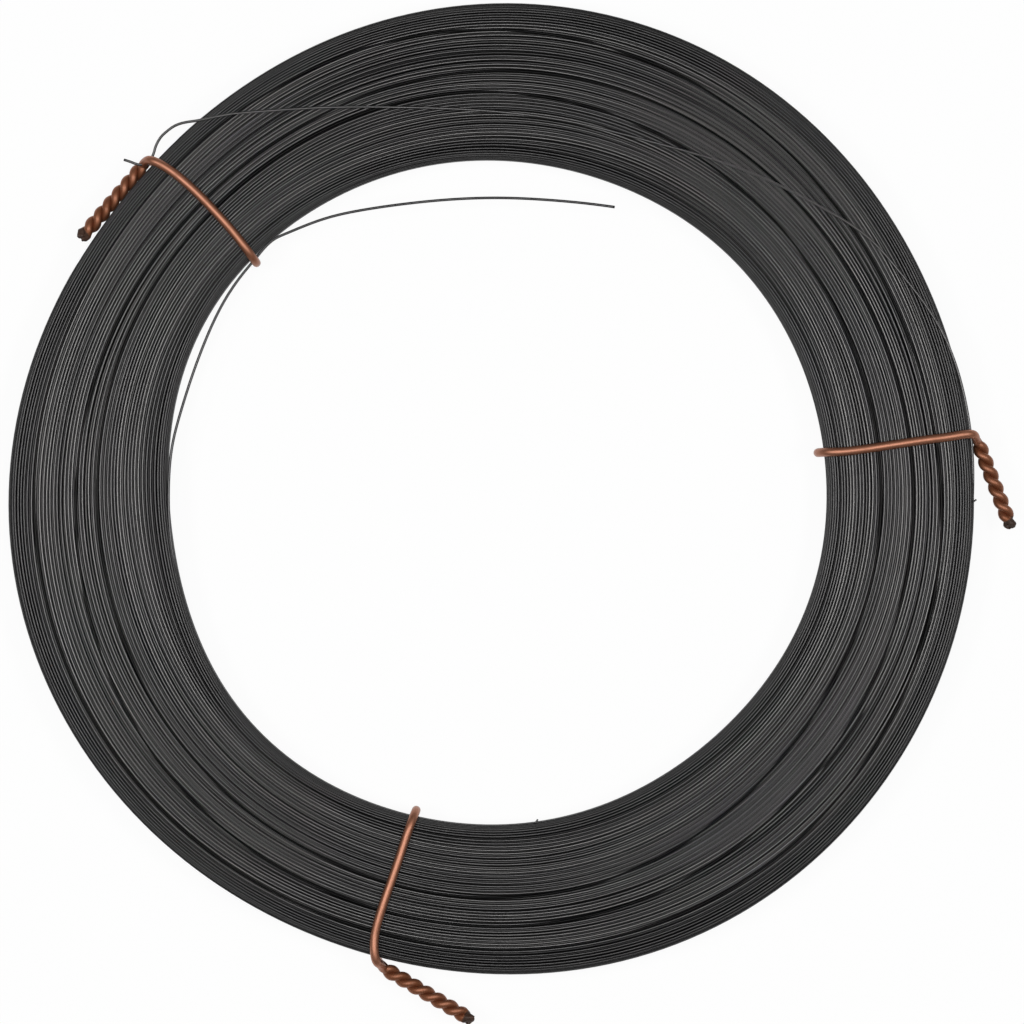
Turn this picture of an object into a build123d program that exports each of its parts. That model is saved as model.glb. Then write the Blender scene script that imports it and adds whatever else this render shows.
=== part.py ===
"""Coil of music wire, lying flat and held together by three twisted copper ties.

The coil's axis is Z. The ties pass under the coil, so it stands on them, and the origin is on the
coil's axis at the level of their undersides. Seen from above, X is to the right and Y is up.
"""

import os
from math import cos, degrees, pi, radians, sin, tan

from build123d import *

# The wire, and the pack that its turns make, in millimetres
wire_diameter = 0.508
bore_radius = 61.3
pack_width = 27.8
pack_height = 7.5
face_crown = 0.5
outer_shoulder = 2.0
inner_shoulder = 2.4

# A lay is a band of turns that stands out as a ridge right round the pack
lay_width = 3.4
lay_relief = 0.25

# The wire's two ends have this many sides
end_sides = 8

# Copper ties
tie_diameter = 1.63
tie_clearance = 0.1
tie_sides = 8
chords_per_corner = 3

# Each tie's tail is its two ends twisted round each other, left-handed, and bitten thinner
strand_diameter = 1.4
strand_gap = 0.07
bend_slack = 0.285
twist_pitch = 5.05
chords_per_twist = 8

# Each tie's angle round the coil, the way that its tail runs along the rim (1 is anticlockwise),
# how far the tail splays out from the rim in degrees, and the tail's length
ties = {
    "tie_right": (6.8, -1, 13.0, 16.4),
    "tie_left": (136.1, 1, 0.0, 17.0),
    "tie_bottom": (255.8, 1, 15.0, 18.9),
}

# The wire's inner end comes out of the bore wall and runs across the bore in a wide arc
inner_end_depth = 1.6
inner_end_angle = 132.0
inner_end_bite = 0.7
inner_end_turn = 21.0
inner_end_radius = 125.5
inner_end_length = 67.0

# The wire's outer end rises out of the rim's shoulder, crosses the upper face, swings out past the
# rim and ducks back into the shoulder beside the left tie. Each point of the crossing and the
# swing is an angle round the coil and a distance in from the rim.
end_clearance = 0.1
end_depth = 1.5
end_bury = 1.15
rise_angle = 18.0
crossing = [(26.0, 4.2), (42.5, 10.2), (64.0, 18.3), (90.0, 18.6), (110.5, 13.4), (124.0, 5.2)]
swing = [(130.6, -0.6), (133.2, -0.7)]
end_tie_gap = 0.35

# Beyond the tie its cut tip comes out of the shoulder again and passes over the tie's tail
tip_bury = 2.2
tip_rise = 0.8
tip_tail_gap = 0.5
tip_overhang = 2.6
tip_turn = 1.6

# Sizes that follow
wire_radius = wire_diameter / 2
tie_radius = tie_diameter / 2
strand_radius = strand_diameter / 2
strand_offset = strand_radius + strand_gap / 2
strand_bend = tie_radius + bend_slack
rim_radius = bore_radius + pack_width
pack_base = tie_diameter + tie_clearance
pack_top = pack_base + pack_height
pack_middle = pack_base + pack_height / 2


def polar(radius, angle, height):
    """The point at this distance from the coil's axis, at this angle and height."""
    return Vector(radius * cos(radians(angle)), radius * sin(radians(angle)), height)


def from_rim(place, height):
    """The point at this angle and distance in from the rim, at this height."""
    angle, inset = place
    return polar(rim_radius - inset, angle, height)


def easy_bends(route):
    """The largest arc that fits at each inner point of a route, as its two runs allow."""
    bends = []
    for before, here, after in zip(route, route[1:], route[2:]):
        run = min((here - before).length, (after - here).length)
        turn = (here - before).get_angle(after - here)
        bends.append(0.45 * run / tan(radians(turn / 2)))
    return bends


# The pack's plain section, inside the ridges: crowned faces and rounded shoulders
with BuildSketch(Plane.XZ) as core:
    inner, outer = bore_radius + lay_relief, rim_radius - lay_relief
    under, over = pack_base + lay_relief, pack_top - lay_relief
    crown_middle = (inner + outer) / 2
    with BuildLine():
        ThreePointArc((inner, over - face_crown), (crown_middle, over), (outer, over - face_crown))
        Line((outer, over - face_crown), (outer, under + face_crown))
        ThreePointArc((outer, under + face_crown), (crown_middle, under), (inner, under + face_crown))
        Line((inner, under + face_crown), (inner, over - face_crown))
    make_face()
    corners = core.vertices().group_by(Axis.X)
    largest_fillet = 0.45 * (over - under - 2 * face_crown)
    fillet(corners[0], min(inner_shoulder, largest_fillet))
    fillet(corners[-1], min(outer_shoulder, largest_fillet))

# The turned pack: the lays stand side by side right round that section, each with its own ridge
section = core.wire()
lays = round(section.length / lay_width)
ridge_line = []
for lay in range(lays):
    ridge_line.append(section @ (lay / lays))
    crest = (lay + 0.5) / lays
    outward = (section % crest).rotate(Axis.Z, 90)
    ridge_line.append(section @ crest + outward * lay_relief)
with BuildPart() as music_wire:
    with BuildSketch(Plane.XZ):
        with BuildLine():
            Polyline(ridge_line, close=True)
        make_face()
    revolve(axis=Axis.Z)

    # The inner end, from inside the bore wall to its cut tip
    inner_start = polar(bore_radius + inner_end_bite, inner_end_angle, pack_top - inner_end_depth)
    inner_heading = polar(1, inner_end_angle - 90 - inner_end_turn, 0)
    with BuildLine() as inner_end:
        JernArc(inner_start, inner_heading, inner_end_radius, -degrees(inner_end_length / inner_end_radius))
    with BuildSketch(Plane(inner_end.line @ 0, z_dir=inner_end.line % 0)):
        RegularPolygon(wire_radius, end_sides)
    sweep(path=inner_end.line)

    # The outer end, as far as the left tie
    tie_angle = ties["tie_left"][0]
    beside_tie = degrees((tie_radius + end_tie_gap + wire_radius) / rim_radius)
    in_shoulder = pack_top - end_depth
    on_face = pack_top + wire_radius + end_clearance
    route = [from_rim((rise_angle, end_bury), in_shoulder)]
    route += [from_rim(place, on_face) for place in crossing]
    route += [from_rim(place, in_shoulder) for place in swing]
    route += [from_rim((tie_angle - beside_tie, end_bury), in_shoulder)]
    with BuildLine() as outer_end:
        FilletPolyline(route, radius=easy_bends(route))
    with BuildSketch(Plane(outer_end.line @ 0, z_dir=outer_end.line % 0)):
        RegularPolygon(wire_radius, end_sides)
    sweep(path=outer_end.line)

    # Its tip, from the shoulder beyond the tie
    over_tail = pack_middle + strand_offset + strand_radius + tip_tail_gap + wire_radius
    tip_start = from_rim((tie_angle + beside_tie, tip_bury), over_tail - tip_rise)
    tip_stop = from_rim((tie_angle + beside_tie + tip_turn, -tip_overhang), over_tail)
    with BuildLine() as tip:
        Line(tip_start, tip_stop)
    with BuildSketch(Plane(tip.line @ 0, z_dir=tip.line % 0)):
        RegularPolygon(wire_radius, end_sides)
    sweep(path=tip.line)
music_wire.part.label = "music_wire"

# Half of a tie's loop, from the middle of the bore wall over the pack and down the rim, as distance
# from the coil's axis and height above the pack's middle. Its outer side leaves room for the tail.
bore_side = bore_radius - tie_clearance - tie_radius
rim_side = rim_radius + tie_clearance + tie_radius + strand_offset
reach = pack_height / 2 + tie_clearance + tie_radius
inner_corner = inner_shoulder + tie_clearance + tie_radius
outer_corner = min(outer_shoulder + tie_clearance + tie_radius, reach - strand_offset - strand_bend)
half_loop = [(bore_side, 0)]
for chord in range(chords_per_corner + 1):
    lean = chord / chords_per_corner * pi / 2
    half_loop.append((bore_side + inner_corner * (1 - cos(lean)), reach - inner_corner * (1 - sin(lean))))
for chord in range(chords_per_corner + 1):
    lean = chord / chords_per_corner * pi / 2
    half_loop.append((rim_side - outer_corner * (1 - sin(lean)), reach - outer_corner * (1 - cos(lean))))

up = Vector(0, 0, 1)
copper = []
for name, (angle, way, splay, tail_length) in ties.items():
    outward = polar(1, angle, 0)
    along = polar(1, angle + way * (90 - splay), 0)
    across = up.cross(along)
    root = polar(rim_side, angle, pack_middle) + up * strand_offset
    tail_start = polar(rim_side, angle, pack_middle) + along * strand_bend

    with BuildPart() as tie:
        # The loop's upper half ends in a bend into the tail, and the lower half mirrors it
        with BuildLine() as loop:
            loop_points = [polar(radius, angle, pack_middle + height) for radius, height in half_loop]
            bend = [root + up * strand_bend / 2, root + along * strand_bend / 2, root + along * strand_bend]
            Polyline(loop_points + bend)
        with BuildSketch(Plane(loop.line @ 0, x_dir=outward, z_dir=up)):
            RegularPolygon(tie_radius, tie_sides, major_radius=False, rotation=180 / tie_sides)
        sweep(path=loop.line, transition=Transition.RIGHT)
        mirror(about=Plane.XY.offset(pack_middle))

        # The tail's two strands, half a turn apart
        for phase in (0, pi):
            with BuildLine() as strand:
                twist = []
                for chord in range(round(tail_length / twist_pitch * chords_per_twist) + 1):
                    turned = phase + 2 * pi * chord / chords_per_twist
                    away = up * cos(turned) + across * sin(turned)
                    advance = chord * twist_pitch / chords_per_twist
                    twist.append(tail_start + along * advance + away * strand_offset)
                Polyline(twist)
            with BuildSketch(Plane(strand.line @ 0, z_dir=strand.line % 0)):
                RegularPolygon(strand_radius, tie_sides)
            sweep(path=strand.line, transition=Transition.RIGHT)
    tie.part.label = name
    copper.append(tie.part)

os.makedirs("parts", exist_ok=True)
for piece in [music_wire.part, *copper]:
    export_step(piece, f"parts/{piece.label}.step")
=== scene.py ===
"""Looks of a coil of music wire: its wound turns, the wire's two free ends and three copper ties.

Sizes are in millimetres in the part's own frame, with Z along the coil's axis and z = 0 level with
the undersides of the ties. They become metres where a mesh is made.
"""

import logging
import math
from dataclasses import dataclass
from enum import Enum

import bpy
import numpy as np
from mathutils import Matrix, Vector


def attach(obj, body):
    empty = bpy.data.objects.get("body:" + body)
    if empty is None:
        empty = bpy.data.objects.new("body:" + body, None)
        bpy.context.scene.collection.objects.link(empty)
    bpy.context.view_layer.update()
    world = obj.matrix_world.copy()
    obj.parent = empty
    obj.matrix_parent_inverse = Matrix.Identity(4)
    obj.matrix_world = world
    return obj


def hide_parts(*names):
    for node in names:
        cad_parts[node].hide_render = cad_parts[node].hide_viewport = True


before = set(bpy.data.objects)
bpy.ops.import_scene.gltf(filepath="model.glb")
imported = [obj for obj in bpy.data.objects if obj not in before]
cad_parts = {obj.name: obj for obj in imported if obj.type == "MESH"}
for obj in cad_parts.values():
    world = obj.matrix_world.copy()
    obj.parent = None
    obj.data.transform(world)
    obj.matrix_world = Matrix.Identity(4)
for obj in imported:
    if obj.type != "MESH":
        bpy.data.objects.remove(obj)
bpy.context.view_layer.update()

MM = 0.001
FULL_TURN = 2 * math.pi
PHOTO_SIDE = 1024
WIRE = 0.508
SAME_PLACE = 1e-6
BODY = "root"

# The map that the finishes are baked on, and its margins as shares of a row or of the map
BAKE_MAP = "OFBake"
ROW_MARGIN = 0.05
RING_MARGIN = 0.04
CHART_LEFT, CHART_WIDTH, CHART_HEIGHT = 0.02, 0.95, 0.98
CHART_SPILL = 0.02
ENDS_SPOT, ENDS_SIZE = 0.998, 0.002

# What each point of a mesh carries for its finish and, on the steel, for its painted shade, and how
# far apart in the drawn grain the darkest and the palest turns lie, so that no two turns have the same
# lines
STRAIGHT = "straightened"
TONE = "tone"
AGE_AND_SHADE = "age"
TONE_STEP = 40.0

log = logging.getLogger("music_wire_coil")


class Slot(Enum):
    """The record's material slots."""

    STEEL = "music_wire"
    COPPER = "tie_copper"


# Outlines and the pack's section


@dataclass(frozen=True)
class Swell:
    """One regular swelling of an outline that isn't quite round.

    Attributes:
        lobes: How many crests it has in a full turn.
        reach: How far a crest stands out, in millimetres.
        crest: The angle of its first crest, in degrees.
    """

    lobes: int
    reach: float
    crest: float

    def at(self, angle: np.ndarray) -> np.ndarray:
        """How far the outline stands out at these angles, given in radians."""
        return self.reach * np.cos(self.lobes * (angle - math.radians(self.crest)))


@dataclass(frozen=True)
class Outline:
    """An almost round outline about the coil's axis, drawn in where the ties hold it.

    Attributes:
        mean: Its mean radius.
        swells: What makes it uneven.
    """

    mean: float
    swells: tuple[Swell, ...]

    def radius(self, angle: np.ndarray | float) -> np.ndarray:
        """The outline's radius at these angles.

        Args:
            angle: Angles round the coil, in radians.

        Returns:
            The radius at each angle.
        """
        angle = np.asarray(angle, float)
        return self.mean + sum(swell.at(angle) for swell in self.swells)


RIM_SWELLS = (
    Swell(1, 0.43, -75.1), Swell(2, 0.39, 69.1), Swell(3, 1.02, -47.0), Swell(4, 0.18, 8.9),
    Swell(6, 0.07, -10.4),
)
BORE_SWELLS = (
    Swell(1, 0.3, -112.8), Swell(2, 0.2, -87.8), Swell(3, 0.54, 8.8), Swell(4, 0.3, -38.2),
    Swell(5, 0.12, 2.3), Swell(6, 0.18, -20.7),
)
RIM = Outline(89.18, RIM_SWELLS)
BORE = Outline(61.42, BORE_SWELLS)


@dataclass
class PackForm:
    """The form that the wound turns fill: a ring with crowned faces and rounded shoulders.

    A place on its section is a distance along the outline, from the middle of the bore wall over the
    upper face to the rim and back underneath, and a depth inside the outline.

    Attributes:
        rim: The outer outline.
        bore: The inner outline.
        base: How high the pack's underside is, on the ties that pass under it.
        height: The pack's height at the middle of its width.
        crown: How much lower each face is at its edges than at its middle.
        rim_shoulder: The radius of the shoulders at the rim.
        bore_shoulder: The radius of the shoulders at the bore.
        press_angle: Where the left-hand tie's tail presses the rim in, in degrees.
        press_spread: How far that reaches to each side, in degrees.
        press_depth: How deep the rim is pressed in.
        press_height: How much of the rim's height is pressed in.
        samples_per_mm: How closely the outline is sampled.
    """

    rim: Outline = RIM
    bore: Outline = BORE
    base: float = 1.73
    height: float = 7.5
    crown: float = 0.5
    rim_shoulder: float = 2.0
    bore_shoulder: float = 2.4
    press_angle: float = 142.0
    press_spread: float = 8.0
    press_depth: float = 0.75
    press_height: float = 4.6
    samples_per_mm: int = 20

    def __post_init__(self) -> None:
        """Works out the outline's points, lengths, outward directions and bends."""
        width, half = self.width, self.height / 2
        rim_bend, bore_bend = self.rim_shoulder, self.bore_shoulder
        upper = np.concatenate([
            self._run((0, 0), (0, half - bore_bend)),
            self._bend((bore_bend, half - bore_bend), bore_bend, 180, 90),
            self._run((bore_bend, half), (width - rim_bend, half)),
            self._bend((width - rim_bend, half - rim_bend), rim_bend, 90, 0),
            self._run((width, half - rim_bend), (width, 0)),
        ])
        lower = upper[::-1] * (1, -1)
        loop = np.concatenate([upper, lower[1:]])
        loop[:, 1] *= 1 - self.crown / half * (2 * loop[:, 0] / width - 1) ** 2
        steps = np.hypot(*np.diff(loop, axis=0).T)
        apart = steps > SAME_PLACE
        self._points = loop[np.concatenate([[True], apart])]
        self._along = np.concatenate([[0], np.cumsum(steps[apart])])
        self.length = float(self._along[-1])
        heading = np.gradient(self._points, self._along, axis=0)
        heading /= np.hypot(*heading.T)[:, None]
        self._outward = np.stack([-heading[:, 1], heading[:, 0]], 1)
        lean = np.unwrap(np.arctan2(heading[:, 1], heading[:, 0]))
        self._bend_rate = -np.gradient(lean, self._along)

    @property
    def width(self) -> float:
        """The pack's mean width, from the bore to the rim."""
        return self.rim.mean - self.bore.mean

    @property
    def middle(self) -> float:
        """The height of the pack's middle."""
        return self.base + self.height / 2

    def _run(self, start: tuple[float, float], stop: tuple[float, float]) -> np.ndarray:
        """Evenly spaced points on a straight run.

        Args:
            start: Where it starts, as across and up.
            stop: Where it stops.

        Returns:
            The points.
        """
        count = max(2, round(math.dist(start, stop) * self.samples_per_mm))
        share = np.linspace(0, 1, count)[:, None]
        return np.array(start) * (1 - share) + np.array(stop) * share

    def _bend(self, centre: tuple[float, float], radius: float, start: float, stop: float) -> np.ndarray:
        """Evenly spaced points on a quarter of a circle.

        Args:
            centre: The circle's centre, as across and up.
            radius: Its radius.
            start: The angle at which the arc starts, in degrees.
            stop: The angle at which it stops.

        Returns:
            The points.
        """
        count = max(3, round(radius * math.pi / 2 * self.samples_per_mm))
        lean = np.radians(np.linspace(start, stop, count))
        return np.array(centre) + radius * np.stack([np.cos(lean), np.sin(lean)], 1)

    def _read(self, table: np.ndarray, along: np.ndarray) -> np.ndarray:
        """A value of the outline's table at these distances along it."""
        return np.interp(np.mod(along, self.length), self._along, table)

    def bend_rate(self, along: np.ndarray) -> np.ndarray:
        """How sharply the outline bends at these distances along it, in radians a millimetre."""
        return self._read(self._bend_rate, along)

    def section(
        self, along: np.ndarray, depth: np.ndarray, angle: np.ndarray
    ) -> tuple[np.ndarray, np.ndarray]:
        """Places on the section.

        Args:
            along: Distances along the outline.
            depth: Depths inside the outline, where a negative one stands out from it.
            angle: Angles round the coil, in radians.

        Returns:
            The distance from the coil's axis and the height of each place.
        """
        bore, rim = self.bore.radius(angle), self.rim.radius(angle)
        across = self._read(self._points[:, 0], along) / self.width
        radius = bore + across * (rim - bore) - self._read(self._outward[:, 0], along) * depth
        height = self._read(self._points[:, 1], along) - self._read(self._outward[:, 1], along) * depth
        return radius - self._press(along, angle), height + self.middle

    def _press(self, along: np.ndarray, angle: np.ndarray) -> np.ndarray:
        """How far the rim's wall is pressed in by the left-hand tie's tail, which lies against it.

        Args:
            along: Distances along the outline.
            angle: Angles round the coil, in radians.

        Returns:
            The press at each place.
        """
        past = (np.mod(along, self.length) - self.length / 2) / self.press_height * 2
        turned = np.degrees(np.mod(angle - math.radians(self.press_angle) + math.pi, FULL_TURN) - math.pi)
        spot = np.clip(1 - past**2, 0, 1) * np.exp(-((turned / self.press_spread) ** 4))
        return self.press_depth * spot


# Meshes


@dataclass
class MeshParts:
    """The arrays that a mesh is made of.

    Attributes:
        points: Corner points in millimetres.
        faces: Faces as rows of point numbers, one array for each count of corners.
        straight: Each point's place if its wire were pulled straight.
        tone: Each point's tone, the same all along one turn.
        age: How browned each point of a tie is, and how dark each point of the steel is painted as shade,
            from 0 to 1.
        charts: Each face array's corners on the bake map.
        flat_from: The first face array whose faces are flat-shaded, past the last one if none is.
    """

    points: np.ndarray
    faces: list[np.ndarray]
    straight: np.ndarray
    tone: np.ndarray
    age: np.ndarray
    charts: list[np.ndarray]
    flat_from: int = 99

    def piece(self, name: str, slot: Slot, material: bpy.types.Material) -> bpy.types.Object:
        """Makes the mesh's object, dresses it and puts it on the part's body.

        Args:
            name: The piece's name.
            slot: The record's material slot; not used.
            material: What its faces wear.

        Returns:
            The new object.
        """
        mesh = bpy.data.meshes.new(name)
        corners = np.concatenate([rows.ravel() for rows in self.faces])
        totals = np.concatenate([np.full(len(rows), rows.shape[1]) for rows in self.faces])
        rounded = [np.full(len(rows), i < self.flat_from) for i, rows in enumerate(self.faces)]
        on_map = np.concatenate([rows.reshape(-1, 2) for rows in self.charts])
        mesh.vertices.add(len(self.points))
        mesh.vertices.foreach_set("co", (self.points * MM).astype(np.float32).ravel())
        mesh.loops.add(len(corners))
        mesh.loops.foreach_set("vertex_index", corners.astype(np.int32))
        mesh.polygons.add(len(totals))
        starts = np.concatenate([[0], np.cumsum(totals)[:-1]])
        mesh.polygons.foreach_set("loop_start", starts.astype(np.int32))
        mesh.update(calc_edges=True)
        mesh.polygons.foreach_set("use_smooth", np.concatenate(rounded))
        chart = mesh.uv_layers.new(name=BAKE_MAP)
        chart.uv.foreach_set("vector", on_map.astype(np.float32).ravel())
        place = mesh.attributes.new(STRAIGHT, "FLOAT_VECTOR", "POINT")
        place.data.foreach_set("vector", self.straight.astype(np.float32).ravel())
        for label, values in ((TONE, self.tone), (AGE_AND_SHADE, self.age)):
            carried = mesh.attributes.new(label, "FLOAT", "POINT")
            carried.data.foreach_set("value", values.astype(np.float32))
        mesh.materials.append(material)
        mesh.validate()
        made = bpy.data.objects.new(name, mesh)
        bpy.context.scene.collection.objects.link(made)
        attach(made, BODY)
        return made


def smooth_route(stops: list[tuple[float, float, float]], step: float) -> np.ndarray:
    """A springy wire's line through some stops: a cubic that bends as little as it can.

    Args:
        stops: The points that the line passes through.
        step: The spacing of the points that are returned.

    Returns:
        Points along the line, from its first stop to its last.
    """
    stops = np.array(stops, float)
    runs = np.linalg.norm(np.diff(stops, axis=0), axis=1)
    knots = np.concatenate([[0], np.cumsum(runs)])
    count = len(stops)
    system, load = np.eye(count), np.zeros((count, 3))
    for i in range(1, count - 1):
        system[i, i - 1 : i + 2] = runs[i - 1], 2 * (runs[i - 1] + runs[i]), runs[i]
        load[i] = 6 * ((stops[i + 1] - stops[i]) / runs[i] - (stops[i] - stops[i - 1]) / runs[i - 1])
    bend = np.linalg.solve(system, load)
    at = np.linspace(0, knots[-1], max(2, round(knots[-1] / step) + 1))
    i = np.clip(np.searchsorted(knots, at, "right") - 1, 0, count - 2)
    run, after, before = runs[i][:, None], (at - knots[i])[:, None], (knots[i + 1] - at)[:, None]
    line = (bend[i] * before**3 + bend[i + 1] * after**3) / (6 * run)
    line += (stops[i] / run - bend[i] * run / 6) * before
    line += (stops[i + 1] / run - bend[i + 1] * run / 6) * after
    return line


def square_directions(heading: np.ndarray) -> tuple[np.ndarray, np.ndarray]:
    """Two directions square to a line at each of its points, which turn with it as little as they can.

    Args:
        heading: The line's direction at each point.

    Returns:
        The first and the second direction at each point.
    """
    side = np.cross(heading[0], (0, 0, 1.0))
    nearly_upright = np.linalg.norm(side) < 0.1
    if nearly_upright:
        side = np.cross(heading[0], (1.0, 0, 0))
    carried = []
    for direction in heading:
        side = side - direction * (side @ direction)
        side /= np.linalg.norm(side)
        carried.append(side)
    first = np.array(carried)
    return first, np.cross(heading, first)


def rounded_tube(
    line: np.ndarray, radius: np.ndarray, sides: int, tone: float, age: np.ndarray
) -> MeshParts:
    """A closed tube of round wire along a line, with eased edges round its two cut ends.

    Args:
        line: The points of the wire's centreline.
        radius: The wire's radius at each point.
        sides: How many faces go round it.
        tone: The tone that all its points have.
        age: How browned it is at each point of the line, and on steel how dark it is painted as shade.

    Returns:
        The tube's arrays.
    """
    eased, edge = 0.82, 0.01
    heads = line[0] + (line[1] - line[0]) * edge, line[-1] + (line[-2] - line[-1]) * edge
    line = np.concatenate([line[:1], heads[:1], line[1:-1], heads[1:], line[-1:]])
    radius = np.concatenate([[radius[0] * eased], radius, [radius[-1] * eased]])
    age = np.concatenate([age[:1], age, age[-1:]])
    heading = np.gradient(line, axis=0)
    heading /= np.linalg.norm(heading, axis=1)[:, None]
    first, second = square_directions(heading)
    lean = np.arange(sides) / sides * FULL_TURN
    spokes = np.cos(lean)[None, :, None] * first[:, None] + np.sin(lean)[None, :, None] * second[:, None]
    points = line[:, None] + spokes * radius[:, None, None]
    along = np.concatenate([[0], np.cumsum(np.linalg.norm(np.diff(line, axis=0), axis=1))])
    straight = np.empty((len(line), sides, 3))
    straight[..., 0] = along[:, None]
    straight[..., 1] = np.cos(lean) * radius[:, None]
    straight[..., 2] = np.sin(lean) * radius[:, None] + tone * TONE_STEP
    quads, chart = wrap_faces(len(line), sides, closed=False)
    rows = max(1, round(math.sqrt(along[-1] / (FULL_TURN * radius.mean()))))
    ends = np.stack([np.arange(sides)[::-1], (len(line) - 1) * sides + np.arange(sides)])
    spot = np.stack([np.cos(lean), np.sin(lean)], 1) * ENDS_SIZE + ENDS_SPOT
    return MeshParts(
        points=points.reshape(-1, 3),
        faces=[quads, ends],
        straight=straight.reshape(-1, 3),
        tone=np.full(points.size // 3, tone),
        age=np.repeat(age, sides),
        charts=[fold_chart(chart, rows), np.stack([spot, spot])],
        flat_from=1,
    )


def wrap_faces(stations: int, sides: int, closed: bool) -> tuple[np.ndarray, np.ndarray]:
    """The faces of a tube, and each corner's share of its length and of the way round it.

    Args:
        stations: How many rings of points the tube has.
        sides: How many points each ring has.
        closed: True if the last ring joins the first.

    Returns:
        The faces, and their corners as shares from 0 to 1.
    """
    spans = stations if closed else stations - 1
    i, k = np.meshgrid(np.arange(spans), np.arange(sides), indexing="ij")
    ahead, beside = (i + 1) % stations, (k + 1) % sides
    quads = np.stack([i * sides + k, i * sides + beside, ahead * sides + beside, ahead * sides + k], -1)
    shares = [(i, k), (i, k + 1), (i + 1, k + 1), (i + 1, k)]
    chart = np.stack([np.stack([a / spans, b / sides], -1) for a, b in shares], -2)
    return quads.reshape(-1, 4), chart.reshape(-1, 4, 2)


def fold_chart(chart: np.ndarray, rows: int) -> np.ndarray:
    """Cuts a tube's long strip into rows that lie above one another on the bake map.

    Args:
        chart: The strip's corners, as shares of its length and of the way round.
        rows: How many rows it is cut into.

    Returns:
        The corners' places on the map.
    """
    row = np.minimum(np.floor(chart[..., 0].mean(-1, keepdims=True) * rows), rows - 1)
    across = np.clip(chart[..., 0] * rows - row, -CHART_SPILL, 1 + CHART_SPILL)
    up = (row + ROW_MARGIN + (1 - 2 * ROW_MARGIN) * chart[..., 1]) / rows
    return np.stack([CHART_LEFT + CHART_WIDTH * across, up * CHART_HEIGHT], -1)


# The wound turns


class Band(Enum):
    """Parts of the pack's outline, each with the shares of the outline where it starts and stops."""

    BORE_WALL = ("turns_bore_wall", -0.052, 0.052)
    UPPER_INNER = ("turns_upper_inner", 0.052, 0.172)
    UPPER_MIDDLE = ("turns_upper_middle", 0.172, 0.325)
    UPPER_OUTER = ("turns_upper_outer", 0.325, 0.45)
    RIM_WALL = ("turns_rim_wall", 0.45, 0.55)
    UNDER_OUTER = ("turns_under_outer", 0.55, 0.75)
    UNDER_INNER = ("turns_under_inner", 0.75, 0.948)


@dataclass(frozen=True)
class Layer:
    """One depth of turns under the pack's outline.

    Attributes:
        depth: How deep the middles of its turns lie inside the outermost ones.
        shift: Where its turns lie between those of the outermost layer, as a share of the spacing.
        upper_face_only: Whether only the upper face has it.
    """

    depth: float
    shift: float
    upper_face_only: bool = False


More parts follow.
